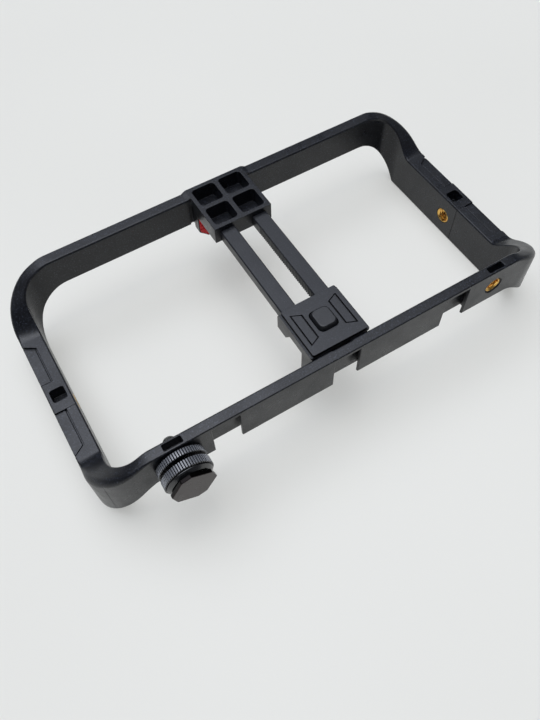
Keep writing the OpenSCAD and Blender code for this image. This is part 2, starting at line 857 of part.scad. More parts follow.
// Closed groove that follows a trapezoid panel beside the button.
module cover_groove() {
    groove_w = 0.6;
    groove_d = 0.5;
    x0 = 6.5;
    x1 = 11.4;
    near = 6.5;
    far = 8.6;
    translate([0, button_y, z_cover_top - groove_d])
        linear_extrude(groove_d + cut)
            difference() {
                polygon([[x0, -near], [x1, -far], [x1, far], [x0, near]]);
                polygon([
                    [x0 + groove_w, -near + groove_w / 3], [x1 - groove_w, -far + groove_w],
                    [x1 - groove_w, far - groove_w], [x0 + groove_w, near - groove_w / 3]
                ]);
            }
}

// Cover over the slider, with the button's opening and two grooved panels.
module slider_cover() {
    mid = cover_y + cover_l / 2;
    color("#45474b")
        placed()
            difference() {
                union() {
                    translate([0, mid, z_slide_top])
                        linear_extrude(cover_step_h)
                            rounded(cover_step_w, cover_l, 0.8);
                    translate([0, mid, z_cover_step - loose])
                        linear_extrude(z_cover_top - z_cover_step + loose)
                            rounded(cover_w, cover_l, 0.8);
                }
                translate([0, button_y, z_slide_top - cut])
                    linear_extrude(z_cover_top - z_slide_top + 2 * cut)
                        rounded(button_w + 2 * button_gap, button_l + 2 * button_gap,
                            button_r + button_gap);
                both_sides()
                    cover_groove();
                for (y = cover_screw_y)
                    translate([0, y, z_slide_top - cut])
                        cylinder(r = screw_r + press, h = cover_screw_top - z_slide_top + cut + loose);
            }
}

// Two screws that hold the cover, driven from below.
module cover_screws() {
    color("#8a8c90")
        placed()
            for (y = cover_screw_y)
                translate([0, y, cover_screw_z + screw_head_h])
                    screw(screw_r, screw_head_r, screw_head_h,
                        cover_screw_top - cover_screw_z - screw_head_h);
}

// Red pad on the slider's jaw, facing the back rail.
module slider_pad() {
    color("#b8242a")
        placed()
            pad(slider_w / 2, rest_z, slider_jaw_y + pad_out, 1);
}

// Side view of the button's cap, drawn for a base of width w.
function cap_profile(w) = [
    [-w / 2, z_cap], [w / 2, z_cap], [w / 2, z_cover_top],
    [w / 2 - button_taper, z_cover_top + button_rise],
    [-w / 2 + button_taper, z_cover_top + button_rise], [-w / 2, z_cover_top]
];

// Left edge of the button's wedge at height z.
function wedge_x(z) = ramp_foot + cam_gap - cam_ratio * (z - z_pawl);

// Release button: cap, stem, two spring tabs and the wedge that draws the pawl back.
module release_button() {
    color("#303134")
        placed()
            translate([0, button_y, 0]) {
                intersection() {
                    translate([0, 0, z_cap])
                        linear_extrude(z_cover_top + button_rise - z_cap)
                            rounded(button_w, button_l, button_r);
                    along_y(-button_l, button_l)
                        polygon(cap_profile(button_w));
                    along_x(-button_w, button_w)
                        polygon(cap_profile(button_l));
                }
                box([stem_x[0], -stem_half, z_stem], [stem_x[1], stem_half, z_cap]);
                box([tab_x[0], -tab_out, z_slide_top - 0.2 - tab_h],
                    [tab_x[1], tab_out, z_slide_top - 0.2]);
                along_y(-wedge_half, wedge_half)
                    polygon([
                        [wedge_x(z_wedge), z_wedge], [stem_x[1], z_wedge],
                        [stem_x[1], z_stem], [wedge_x(z_stem), z_stem]
                    ]);
            }
}

// Coil spring along +Z from the origin.
module coil(r, wire, l, turns) {
    sides = 6;
    steps = turns * 14;
    rise = l - 2 * wire;
    loft([for (i = [0:steps])
        let (a = 360 * turns * i / steps)
        [for (k = [0:sides - 1])
            let (b = -360 * k / sides, q = r + wire * cos(b))
            [q * cos(a), q * sin(a), wire + rise * i / steps + wire * sin(b)]]]);
}

// Two coil springs under the button's tabs.
module button_springs() {
    color("#b9bcc0")
        placed()
            for (side = [-1, 1])
                translate([spring_x, button_y + side * (stem_half + tab_out) / 2, z_well])
                    coil(spring_r, spring_wire, z_slide_top - 0.2 - tab_h - z_well, 5);
}

// Pawl: a slide under the bars, with teeth that rise beside the rack.
module pawl() {
    crest = pawl_tip - tooth_block;
    color("#d8d9db")
        placed()
            translate([0, button_y, 0])
                difference() {
                    union() {
                        box([pawl_back, -pawl_half, z_pawl], [pawl_tip, pawl_half, z_pawl + pawl_h]);
                        box([tooth_block, -pawl_half, z_pawl], [pawl_tip, pawl_half, z_bar_top - 1.2]);
                    }
                    along_y(-wedge_half - 0.25, wedge_half + 0.25)
                        polygon([
                            [ramp_foot + cam_ratio * cut, z_pawl - cut],
                            [tooth_block - 0.2, z_pawl - cut], [tooth_block - 0.2, z_pawl + pawl_h + cut],
                            [ramp_foot - cam_ratio * (pawl_h + cut), z_pawl + pawl_h + cut]
                        ]);
                    for (i = [-2:2])
                        translate([tooth_block + crest, (i + 0.5) * tooth_p, z_pawl + pawl_h])
                            linear_extrude(bar_h + pawl_h)
                                polygon([
                                    [0.1, -tooth_p / 2 + 0.1], [-tooth_d, 0], [0.1, tooth_p / 2 - 0.1]
                                ]);
                }
}

// Coil spring that pushes the pawl toward the rack.
module pawl_spring() {
    color("#b9bcc0")
        placed()
            translate([pawl_spring_x, button_y, z_pawl + pawl_h / 2])
                rotate([0, 90, 0])
                    coil(spring_r - 0.1, spring_wire, pawl_back - pawl_spring_x, 5);
}

// Places the adapter's pieces: local +Z points out of the left insert.
module on_adapter() {
    placed()
        translate([-insert_x, y_front, insert_z])
            rotate([90, 0, 0])
                children();
}

// Screw of the adapter, with a V thread drawn as rings and a neck into the foot.
module adapter_stud() {
    z0 = -shoe_rail_t - stud_tip;
    turns = floor((foot_at - z0 - 1.8) / thread_pitch);
    z1 = z0 + 1.6;
    thread = [for (i = [0:turns - 1]) each [
        [stud_root, z1 + (i + 0.1) * thread_pitch], [stud_r, z1 + (i + 0.45) * thread_pitch],
        [stud_r, z1 + (i + 0.65) * thread_pitch], [stud_root, z1 + (i + 1) * thread_pitch]
    ]];
    color("#9a9ca0")
        on_adapter()
            rotate_extrude()
                polygon(concat(
                    [[0, z0], [stud_root - 1.2, z0], [stud_root, z0 + 1.4]], thread,
                    [[stud_root, foot_at], [neck_r, foot_at], [neck_r, foot_at + neck_l],
                        [0, foot_at + neck_l]]
                ));
}

// Square foot with its four corners cut, two of them more.
module adapter_foot() {
    h = foot_side / 2;
    a = foot_cuts[0];
    b = foot_cuts[1];
    color("#5d5855")
        on_adapter()
            difference() {
                translate([0, 0, foot_at])
                    rotate(foot_turn)
                        linear_extrude(plate_t)
                            polygon([
                                [-h + a, -h], [h - b, -h], [h, -h + b], [h, h - a],
                                [h - a, h], [-h + b, h], [-h, h - b], [-h, -h + a]
                            ]);
                translate([0, 0, foot_at - cut])
                    cylinder(r = neck_r + press, h = neck_l + cut + press);
            }
}

// Washer that rides with the lock nut.
module lock_washer() {
    color("#1c1c1e")
        on_adapter()
            translate([0, 0, washer_at])
                difference() {
                    cylinder(r = washer_r, h = washer_t);
                    translate([0, 0, -cut])
                        cylinder(r = thread_r, h = washer_t + 2 * cut);
                }
}

// Ring with a straight knurl and a plain bore.
module knurled_ring(t) {
    difference() {
        linear_extrude(t)
            polygon([for (i = [0:2 * knurl_n - 1])
                let (a = 180 * i / knurl_n, r = i % 2 == 0 ? nut_r : nut_r - knurl_d)
                [r * cos(a), r * sin(a)]]);
        translate([0, 0, -cut])
            cylinder(r = thread_r, h = t + 2 * cut);
    }
}

// Knurled nut that locks the adapter against the rail.
module lock_nut() {
    color("#26272a")
        on_adapter()
            translate([0, 0, lock_nut_at])
                knurled_ring(lock_nut_t);
}

// Smooth flange with a conical rim, which the clamp nut drives toward the foot.
module clamp_flange() {
    cone = 1.4;
    color("#1f2023")
        on_adapter()
            translate([0, 0, flange_at])
                rotate_extrude()
                    polygon([
                        [thread_r, 0], [flange_r, 0], [flange_r, flange_t - cone],
                        [flange_r - cone, flange_t], [thread_r, flange_t]
                    ]);
}

// Knurled nut that clamps the foot in a shoe.
module clamp_nut() {
    color("#26272a")
        on_adapter()
            translate([0, 0, clamp_nut_at])
                knurled_ring(clamp_nut_t);
}

front_frame();
rear_frame();
frame_screws();
left_bar();
right_bar();
bar_screws();
fixed_jaw_pad();
grip_insert_left();
grip_insert_right();
shoe_rail_insert_left();
shoe_rail_insert_right();
tripod_insert();
slider_body();
slider_cover();
cover_screws();
slider_pad();
release_button();
button_springs();
pawl();
pawl_spring();
adapter_stud();
adapter_foot();
lock_washer();
lock_nut();
clamp_flange();
clamp_nut();
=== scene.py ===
import math

import bpy
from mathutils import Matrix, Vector


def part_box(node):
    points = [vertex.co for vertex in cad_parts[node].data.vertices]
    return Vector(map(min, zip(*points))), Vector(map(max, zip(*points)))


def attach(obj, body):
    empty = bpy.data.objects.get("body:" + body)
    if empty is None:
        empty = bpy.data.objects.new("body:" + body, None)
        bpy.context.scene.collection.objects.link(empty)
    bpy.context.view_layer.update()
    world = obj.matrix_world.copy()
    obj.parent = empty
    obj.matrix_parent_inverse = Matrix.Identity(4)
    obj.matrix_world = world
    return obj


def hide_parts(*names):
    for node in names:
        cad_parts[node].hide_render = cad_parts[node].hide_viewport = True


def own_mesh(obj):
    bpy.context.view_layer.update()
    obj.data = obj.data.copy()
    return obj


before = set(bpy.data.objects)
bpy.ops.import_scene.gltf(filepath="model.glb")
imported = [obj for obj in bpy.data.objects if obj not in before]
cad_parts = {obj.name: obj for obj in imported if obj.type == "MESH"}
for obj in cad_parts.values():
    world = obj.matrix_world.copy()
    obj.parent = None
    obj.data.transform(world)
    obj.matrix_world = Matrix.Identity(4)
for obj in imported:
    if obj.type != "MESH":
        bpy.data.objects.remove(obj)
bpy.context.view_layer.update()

# ---- Table, lamps and camera ----------------------------------------------------------------
# The cage lies back side up on a pale matt table top, in a room that is brightest straight
# overhead. The camera stands over the near left grip and looks down along the rails.


def linear(colour):
    """An sRGB hex colour as linear red, green, blue and alpha."""
    parts = [int(colour[i:i + 2], 16) / 255 for i in (1, 3, 5)]
    return [c / 12.92 if c <= 0.04045 else ((c + 0.055) / 1.055) ** 2.4 for c in parts] + [1]


def add(tree, kind, inputs=None, **settings):
    """One node with its settings, and its inputs set to values or linked to sockets."""
    made = tree.nodes.new("ShaderNode" + kind)
    for name, value in settings.items():
        setattr(made, name, value)
    for key, value in (inputs or {}).items():
        if isinstance(value, bpy.types.NodeSocket):
            tree.links.new(value, made.inputs[key])
        else:
            made.inputs[key].default_value = value
    return made


def new_material(name):
    """An empty material and its node tree."""
    material = bpy.data.materials.new(name)
    material.use_nodes = True
    material.node_tree.nodes.clear()
    return material, material.node_tree


def tones(tree, value, *stops):
    """A colour ramp over a value, from pairs of position and sRGB hex colour."""
    ramp = add(tree, "ValToRGB", {"Fac": value})
    points = ramp.color_ramp.elements
    for i, (position, colour) in enumerate(stops):
        point = points[i] if i < 2 else points.new(position)
        point.position = position
        point.color = linear(colour)
    return ramp.outputs["Color"]


bpy.ops.object.select_all(action="DESELECT")
bpy.ops.mesh.primitive_plane_add(size=12)
table = bpy.context.object
table.name = "table_top"
matt_laminate, tree = new_material("matt_laminate")
place = add(tree, "TexCoord").outputs["Object"]
cloud = add(tree, "TexNoise", {"Vector": place, "Scale": 4.0, "Detail": 1.0})
fleck = add(tree, "TexNoise", {"Vector": place, "Scale": 1500.0, "Detail": 1.0})
relief = add(tree, "Bump", {"Height": fleck.outputs["Fac"], "Strength": 0.1, "Distance": 0.0002})
shade = tones(tree, cloud.outputs["Fac"], (0.3, "#dad8d0"), (0.7, "#e0ded6"))
surface = add(tree, "BsdfPrincipled", {
    "Base Color": shade, "Roughness": 0.6, "Specular IOR Level": 0.3, "Normal": relief.outputs["Normal"]})
# The laminate's own haze: a plain glow mixed in where the camera or a mirror sees the table.
glow = add(tree, "Emission", {"Color": linear("#e3e4e1"), "Strength": 1.0})
path = add(tree, "LightPath")
mirrored = add(tree, "Math", {0: path.outputs["Is Glossy Ray"], 1: path.outputs["Is Transmission Ray"]})
seen = add(tree, "Math", {0: path.outputs["Is Camera Ray"], 1: mirrored.outputs["Value"]})
share = add(tree, "MapRange", {"Value": seen.outputs["Value"], "To Max": 0.45})
mixed = add(tree, "MixShader", {
    0: share.outputs["Result"], 1: surface.outputs["BSDF"], 2: glow.outputs["Emission"]})
add(tree, "OutputMaterial", {"Surface": mixed.outputs["Shader"]})
table.data.materials.append(matt_laminate)

world = bpy.data.worlds.new("soft_room")
bpy.context.scene.world = world
world.use_nodes = True
world.node_tree.nodes.clear()
tree = world.node_tree
brightest_way = (-0.1, 0.2, 0.975)
way = add(tree, "VectorMath", {0: add(tree, "TexCoord").outputs["Generated"], 1: brightest_way},
          operation="DOT_PRODUCT")
overhead = add(tree, "MapRange", {
    "Value": way.outputs["Value"], "From Min": 0.72, "From Max": 0.98, "To Min": 0.14, "To Max": 3.9},
    interpolation_type="SMOOTHSTEP")
sky = add(tree, "Background", {"Color": linear("#eef3ff"), "Strength": overhead.outputs["Result"]})
add(tree, "OutputWorld", {"Surface": sky.outputs["Background"]})

bpy.ops.object.light_add(type="AREA", location=(0, 0.05, 1.3))
ceiling_lamp = bpy.context.object
ceiling_lamp.name = "ceiling_lamp"
ceiling_lamp.data.shape = "SQUARE"
ceiling_lamp.data.size = 0.3
ceiling_lamp.data.energy = 1.6
ceiling_lamp.data.color = linear("#fffdf8")[:3]

camera_place, camera_turn, camera_lens = (-0.09435, -0.15595, 0.27630), (30.5732, 1.3567, -31.1011), 33.424
bpy.ops.object.camera_add(location=camera_place)
camera = bpy.context.object
camera.name = "camera"
camera.rotation_euler = [math.radians(a) for a in camera_turn]
camera.data.sensor_fit = "VERTICAL"
camera.data.sensor_height = 36
camera.data.lens = camera_lens
camera.data.clip_start = 0.01
bpy.context.scene.camera = camera
bpy.context.scene.view_settings.view_transform = "Standard"

# ---- Front and rear halves of the frame ------------------------------------------------------
# The ring is two mouldings of glass-filled nylon that meet on the grips. Their mould was spark
# eroded, so the faces are finely grained, and its sliding cores left thin parting lines.


def in_edit(select="SELECT"):
    """Opens the active piece in edit mode with all of it selected, or nothing."""
    bpy.ops.object.mode_set(mode="EDIT")
    bpy.ops.mesh.select_all(action=select)


def apply(piece, name, kind, **settings):
    """Adds one modifier to a piece and applies it."""
    modifier = piece.modifiers.new(name, kind)
    for key, value in settings.items():
        setattr(modifier, key, value)
    bpy.context.view_layer.objects.active = piece
    bpy.ops.object.modifier_apply(modifier=name)


def smoothed(piece, angle=40):
    """Smooths the faces of a piece that meet at less than an angle, large faces staying flat."""
    bpy.ops.object.select_all(action="DESELECT")
    piece.select_set(True)
    bpy.context.view_layer.objects.active = piece
    bpy.ops.object.shade_smooth_by_angle(angle=math.radians(angle))
    apply(piece, "flat_faces", "WEIGHTED_NORMAL", keep_sharp=True, weight=100)
    return piece


def merged_copy(node, name, material):
    """A copy of a CAD node as one closed mesh with a material of its own."""
    piece = bpy.data.objects.new(name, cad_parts[node].data.copy())
    bpy.context.collection.objects.link(piece)
    bpy.ops.object.select_all(action="DESELECT")
    piece.select_set(True)
    bpy.context.view_layer.objects.active = piece
    piece.data.materials.clear()
    piece.data.materials.append(material)
    in_edit()
    bpy.ops.mesh.remove_doubles(threshold=1e-6)
    bpy.ops.mesh.dissolve_limited(angle_limit=math.radians(0.4))
    bpy.ops.object.mode_set(mode="OBJECT")
    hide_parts(node)
    return piece


def rounded_edges(piece, width, segments=2, angle=30, keep=None):
    """Rounds the edges of a piece that are sharper than an angle, save where both ends pass a test."""
    bpy.ops.object.select_all(action="DESELECT")
    piece.select_set(True)
    bpy.context.view_layer.objects.active = piece
    bpy.context.tool_settings.mesh_select_mode = (False, True, False)
    in_edit("DESELECT")
    bpy.ops.mesh.edges_select_sharp(sharpness=math.radians(angle))
    bpy.ops.object.mode_set(mode="OBJECT")
    points = piece.data.vertices
    weights = piece.data.attributes.new("bevel_weight_edge", "FLOAT", "EDGE")
    for edge in piece.data.edges:
        kept = keep and all(keep(points[i].co) for i in edge.vertices)
        weights.data[edge.index].value = 1.0 if edge.select and not kept else 0.0
    apply(piece, "rounding", "BEVEL", width=width, segments=segments, limit_method="WEIGHT",
          use_clamp_overlap=False)


def scratch(piece, size, place, turn=0.0):
    """Cuts one thin straight groove into a piece: the blade's size, its middle and its turn."""
    bpy.ops.object.select_all(action="DESELECT")
    bpy.ops.mesh.primitive_cube_add(size=1, location=place, rotation=(0, 0, turn))
    blade = bpy.context.object
    blade.scale = size
    bpy.ops.object.transform_apply(location=True, rotation=True, scale=True)
    apply(piece, "groove", "BOOLEAN", object=blade, operation="DIFFERENCE", solver="EXACT")
    bpy.data.objects.remove(blade)


def sided(side, place):
    """A place on the right, kept there for side 1 and mirrored to the left for side -1."""
    return side * place[0], place[1], place[2]


# Glass-filled nylon 6, moulded: near black, IOR 1.5. The spark-eroded grain of 0.3 to 0.6 mm
# breaks its gloss into fine specks, and glass fibres near the skin show as paler dots.
moulded_nylon, tree = new_material("moulded_nylon")
place = add(tree, "TexCoord").outputs["Object"]
grain = add(tree, "TexNoise", {"Vector": place, "Scale": 1500.0, "Detail": 3.0, "Roughness": 0.65})
flow = add(tree, "TexNoise", {"Vector": place, "Scale": 90.0, "Detail": 4.0, "Roughness": 0.6})
gloss = add(tree, "MapRange", {
    "Value": flow.outputs["Fac"], "From Min": 0.3, "From Max": 0.7, "To Min": 0.24, "To Max": 0.42})
relief = add(tree, "Bump", {"Height": grain.outputs["Fac"], "Strength": 0.6, "Distance": 0.00008})
surface = add(tree, "BsdfPrincipled", {
    "Base Color": tones(tree, grain.outputs["Fac"], (0.42, "#0a0b0e"), (0.56, "#121419"), (0.7, "#373b44")),
    "Roughness": gloss.outputs["Result"], "Normal": relief.outputs["Normal"], "IOR": 1.5,
    "Specular IOR Level": 0.38})
add(tree, "OutputMaterial", {"Surface": surface.outputs["BSDF"]})

front_face_y, grip_inner_x, mould_rounding = -0.05055, 0.1034, 0.0002
pin_radius, pin_reach, pin_place = 0.00035, 0.0004, (grip_inner_x, -0.0086, 0.0152)
corner_line, corner_place = (0.00044, 0.00024, 0.06), (0.10843, -0.04528, 0.02)
rail_line, rail_place = (0.00012, 0.02, 0.00012), (0.0729, -0.048, 0.0455)
seam_line, seam_place = (0.0004, 0.0003, 0.05), (grip_inner_x, 0.00095, 0.0113)
ramp_foot, ramp_reach = Vector((0.016, 0.0636, 0.0454)), 0.0014

front = merged_copy("front_frame", "front_half", moulded_nylon)
rounded_edges(front, mould_rounding, segments=3)
# dimple that an ejector pin left inside the right grip
bpy.ops.object.select_all(action="DESELECT")
bpy.ops.mesh.primitive_cylinder_add(vertices=16, radius=pin_radius, depth=pin_reach,
                                    location=pin_place, rotation=(0, math.radians(90), 0))
pin = bpy.context.object
bpy.ops.object.transform_apply(location=True, rotation=True, scale=True)
apply(front, "dimple", "BOOLEAN", object=pin, operation="DIFFERENCE", solver="EXACT")
bpy.data.objects.remove(pin)
for side in (-1, 1):
    # parting lines down the middle of a corner's outside, and across the rail beside its slot
    scratch(front, corner_line, sided(side, corner_place), turn=side * math.radians(45))
    scratch(front, rail_line, sided(side, rail_place))
    # the dark joint between the halves, down each grip's inner face
    scratch(front, seam_line, sided(side, seam_place))
smoothed(front)
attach(front, "frame")

rear = merged_copy("rear_frame", "rear_half", moulded_nylon)
rounded_edges(rear, mould_rounding, segments=3,
              keep=lambda co: (Vector((abs(co.x), co.y, co.z)) - ramp_foot).length < ramp_reach)
for side in (-1, 1):
    scratch(rear, seam_line, sided(side, seam_place))
smoothed(rear)
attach(rear, "frame")

# ---- Small screws ----------------------------------------------------------------------------
# Zinc-plated steel screws hold the halves, the bars and the slider's cover. They are turned in
# from below or from inside the pockets, so only their heads show.

# Zinc plating: a metal with a fine crystalline bloom, so its gloss varies from spot to spot.
zinc_plating, tree = new_material("zinc_plating")
place = add(tree, "TexCoord").outputs["Object"]
bloom = add(tree, "TexNoise", {"Vector": place, "Scale": 2500.0, "Detail": 2.0})
gloss = add(tree, "MapRange", {"Value": bloom.outputs["Fac"], "To Min": 0.25, "To Max": 0.5})
relief = add(tree, "Bump", {"Height": bloom.outputs["Fac"], "Strength": 0.2, "Distance": 0.00003})
surface = add(tree, "BsdfPrincipled", {
    "Base Color": tones(tree, bloom.outputs["Fac"], (0.35, "#a2a5a9"), (0.65, "#babcc0")),
    "Metallic": 1.0, "Roughness": gloss.outputs["Result"], "Normal": relief.outputs["Normal"]})
add(tree, "OutputMaterial", {"Surface": surface.outputs["BSDF"]})
for name in ("frame_screws", "bar_screws", "cover_screws"):
    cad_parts[name].data.materials[0] = zinc_plating

# ---- Clamp bars ------------------------------------------------------------------------------
# Two moulded bars carry the clamp, their front ends seated in the rail and their back ends
# screwed to the fixed jaw. The right one has a rack along its inner side.

# The same nylon from a finer mould: a smaller grain and a more even sheen.
bar_shades = ((0.4, "#111317"), (0.6, "#1a1c21"), (0.75, "#2e3139"))
bar_nylon, tree = new_material("bar_nylon")
place = add(tree, "TexCoord").outputs["Object"]
grain = add(tree, "TexNoise", {"Vector": place, "Scale": 2300.0, "Detail": 2.0, "Roughness": 0.6})
wear = add(tree, "TexNoise", {"Vector": place, "Scale": 120.0, "Detail": 3.0})
gloss = add(tree, "MapRange", {
    "Value": wear.outputs["Fac"], "From Min": 0.3, "From Max": 0.7, "To Min": 0.34, "To Max": 0.46})
relief = add(tree, "Bump", {"Height": grain.outputs["Fac"], "Strength": 0.35, "Distance": 0.00005})
surface = add(tree, "BsdfPrincipled", {
    "Base Color": tones(tree, grain.outputs["Fac"], *bar_shades),
    "Roughness": gloss.outputs["Result"], "Normal": relief.outputs["Normal"], "IOR": 1.5,
    "Specular IOR Level": 0.45})
add(tree, "OutputMaterial", {"Surface": surface.outputs["BSDF"]})
for node, name in (("left_bar", "plain_bar"), ("right_bar", "rack_bar")):
    bar = merged_copy(node, name, bar_nylon)
    rounded_edges(bar, 0.00008)
    smoothed(bar)
    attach(bar, "frame")

# ---- Slider with its cover -------------------------------------------------------------------
# The slider is a moulded body that hooks round both bars, closed by a cover with two grooved
# panels. Two screws from below hold the cover.

body = merged_copy("slider_body", "slider_shell", moulded_nylon)
rounded_edges(body, mould_rounding, segments=3)
smoothed(body)
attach(body, "slider")


def blended(tree, share, first, second):
    """Two colours, each a value or a socket, mixed by the second one's share."""
    return add(tree, "Mix", {"Factor": share, 6: first, 7: second}, data_type="RGBA").outputs[2]


# The bars' nylon again, matt on top and on its low steps. Its sides and grooves are painted
# near black with their gloss turned down, a painted shade that reads as thin black outlines.
cover_low, cover_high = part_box("slider_cover")
cover_middle, cover_half = (cover_low.y + cover_high.y) / 2, (cover_high.y - cover_low.y) / 2
step_top, step_half = 0.04545, 0.0128
step_end, step_reach = Vector((step_half, cover_half, step_top)), 0.0007
cover_nylon, tree = new_material("cover_nylon")
place = add(tree, "TexCoord").outputs["Object"]
grain = add(tree, "TexNoise", {"Vector": place, "Scale": 1900.0, "Detail": 3.0})
height = add(tree, "SeparateXYZ", {"Vector": place}).outputs["Z"]
below_top = add(tree, "MapRange", {
    "Value": height, "From Min": cover_high.z - 0.00006, "From Max": cover_high.z - 0.00026})
above_step = add(tree, "MapRange", {
    "Value": height, "From Min": step_top + 0.00005, "From Max": step_top + 0.00025})
# painted shade mask: 1 on the sides and in the grooves, between the top and the steps
shade = add(tree, "Math", {0: below_top.outputs["Result"], 1: above_step.outputs["Result"]},
            operation="MULTIPLY").outputs["Value"]
painted_shade_specular = add(tree, "MapRange", {"Value": shade, "To Min": 0.45, "To Max": 0.08})
relief = add(tree, "Bump", {"Height": grain.outputs["Fac"], "Strength": 0.4, "Distance": 0.00005})
matt = tones(tree, grain.outputs["Fac"], *bar_shades)
surface = add(tree, "BsdfPrincipled", {
    "Base Color": blended(tree, shade, matt, linear("#050506")), "Roughness": 0.4,
    "Normal": relief.outputs["Normal"], "IOR": 1.5, "Specular IOR Level": painted_shade_specular.outputs["Result"]})
add(tree, "OutputMaterial", {"Surface": surface.outputs["BSDF"]})

cover = merged_copy("slider_cover", "slider_lid", cover_nylon)
rounded_edges(cover, 0.00016, segments=3, keep=lambda co: (
    Vector((abs(co.x), abs(co.y - cover_middle), co.z)) - step_end).length < step_reach)
smoothed(cover)
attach(cover, "slider")

# ---- Release button --------------------------------------------------------------------------
# A moulded key with a soft pillow shape. Its stem, its two spring tabs and its wedge go down
# into the slider, where the wedge draws the pawl back.

# Unfilled nylon with a matt finish that rubs smoother in the middle of the key.
key_nylon, tree = new_material("key_nylon")
place = add(tree, "TexCoord").outputs["Object"]
grain = add(tree, "TexNoise", {"Vector": place, "Scale": 2600.0, "Detail": 2.0})
rub = add(tree, "TexNoise", {"Vector": place, "Scale": 260.0, "Detail": 2.0})
gloss = add(tree, "MapRange", {
    "Value": rub.outputs["Fac"], "From Min": 0.3, "From Max": 0.7, "To Min": 0.32, "To Max": 0.42})
relief = add(tree, "Bump", {"Height": grain.outputs["Fac"], "Strength": 0.3, "Distance": 0.00004})
surface = add(tree, "BsdfPrincipled", {
    "Base Color": tones(tree, grain.outputs["Fac"], (0.4, "#101114"), (0.6, "#17191c"), (0.78, "#2a2c31")),
    "Roughness": gloss.outputs["Result"], "Normal": relief.outputs["Normal"], "IOR": 1.5,
    "Specular IOR Level": 0.45})
add(tree, "OutputMaterial", {"Surface": surface.outputs["BSDF"]})

key_low, key_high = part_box("release_button")
key_middle = Vector((0, (key_low.y + key_high.y) / 2, 0))
key_size, key_corner, key_foot, key_overlap = (0.0092, 0.0106), 0.0024, 0.04565, 0.0004
# heights of the cap's rims, each with its share of the cap's size
key_heights = ((0.0471, 1.0), (0.0486, 0.89), (0.04888, 0.86), (0.04903, 0.825), (0.0491, 0.77))

button = merged_copy("release_button", "release_key", key_nylon)
in_edit()
bpy.ops.mesh.bisect(plane_co=(0, 0, key_foot + key_overlap), plane_no=(0, 0, 1), use_fill=True,
                    clear_outer=True)
bpy.ops.object.mode_set(mode="OBJECT")
rounded_edges(button, 0.0001)

bpy.ops.object.select_all(action="DESELECT")
bpy.ops.mesh.primitive_plane_add(size=1, location=(key_middle.x, key_middle.y, key_foot))
cap = bpy.context.object
cap.scale = (key_size[0], key_size[1], 1)
bpy.ops.object.transform_apply(location=True, rotation=True, scale=True)
cap.data.materials.append(key_nylon)
in_edit()
bpy.ops.mesh.bevel(offset=key_corner, segments=6, affect="VERTICES")
previous, height = 1.0, key_foot
for z, share in key_heights:
    bpy.ops.mesh.extrude_region_move(TRANSFORM_OT_translate={"value": (0, 0, z - height)})
    scale = share / previous
    bpy.ops.transform.resize(value=(scale, scale, 1), center_override=(key_middle.x, key_middle.y, z))
    previous, height = share, z
bpy.ops.mesh.select_all(action="SELECT")
bpy.ops.mesh.normals_make_consistent(inside=False)
bpy.ops.object.mode_set(mode="OBJECT")
bpy.ops.object.select_all(action="DESELECT")
cap.select_set(True)
button.select_set(True)
bpy.context.view_layer.objects.active = button
bpy.ops.object.join()
smoothed(button, 55)
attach(button, "button")

# ---- Pawl and springs ------------------------------------------------------------------------
# A white acetal pawl slides under the bars and bites into the rack. One coil spring pushes it
# there, and two more lift the button.

# Acetal: a milky, slightly waxy plastic that lets a little light into its skin.
acetal, tree = new_material("acetal")
place = add(tree, "TexCoord").outputs["Object"]
haze = add(tree, "TexNoise", {"Vector": place, "Scale": 700.0, "Detail": 2.0})
gloss = add(tree, "MapRange", {"Value": haze.outputs["Fac"], "To Min": 0.3, "To Max": 0.45})
surface = add(tree, "BsdfPrincipled", {
    "Base Color": tones(tree, haze.outputs["Fac"], (0.3, "#d9dad8"), (0.7, "#e6e7e4")),
    "Roughness": gloss.outputs["Result"], "IOR": 1.48, "Subsurface Weight": 0.15,
    "Subsurface Radius": (0.0006, 0.0006, 0.0005)})
add(tree, "OutputMaterial", {"Surface": surface.outputs["BSDF"]})
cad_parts["pawl"].data.materials[0] = acetal

# Drawn spring wire: bright, with fine lines along its surface.
spring_wire, tree = new_material("spring_wire")
place = add(tree, "TexCoord").outputs["Object"]
draw = add(tree, "TexNoise", {"Vector": place, "Scale": 4000.0, "Detail": 1.0})
gloss = add(tree, "MapRange", {"Value": draw.outputs["Fac"], "To Min": 0.18, "To Max": 0.35})
surface = add(tree, "BsdfPrincipled", {
    "Base Color": tones(tree, draw.outputs["Fac"], (0.3, "#b4b7bb"), (0.7, "#cacdd1")),
    "Metallic": 1.0, "Roughness": gloss.outputs["Result"]})
add(tree, "OutputMaterial", {"Surface": surface.outputs["BSDF"]})

# Each spring is copied from its node, smoothed and set on the slider with a mesh of its own.
button_travel, pawl_travel = 0.0015, 0.0009
for node, name, joint, axis, travel in (
        ("button_springs", "return_springs", "button_press", Vector((0, 0, 1)), button_travel),
        ("pawl_spring", "catch_spring", "pawl_slide", Vector((1, 0, 0)), pawl_travel)):
    spring = smoothed(merged_copy(node, name, spring_wire))
    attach(spring, "slider")
    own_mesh(spring)

# ---- Red grip pads ---------------------------------------------------------------------------
# Soft silicone pads are pressed into the two jaws and hold the phone by its edges. Three grooves
# run along each.

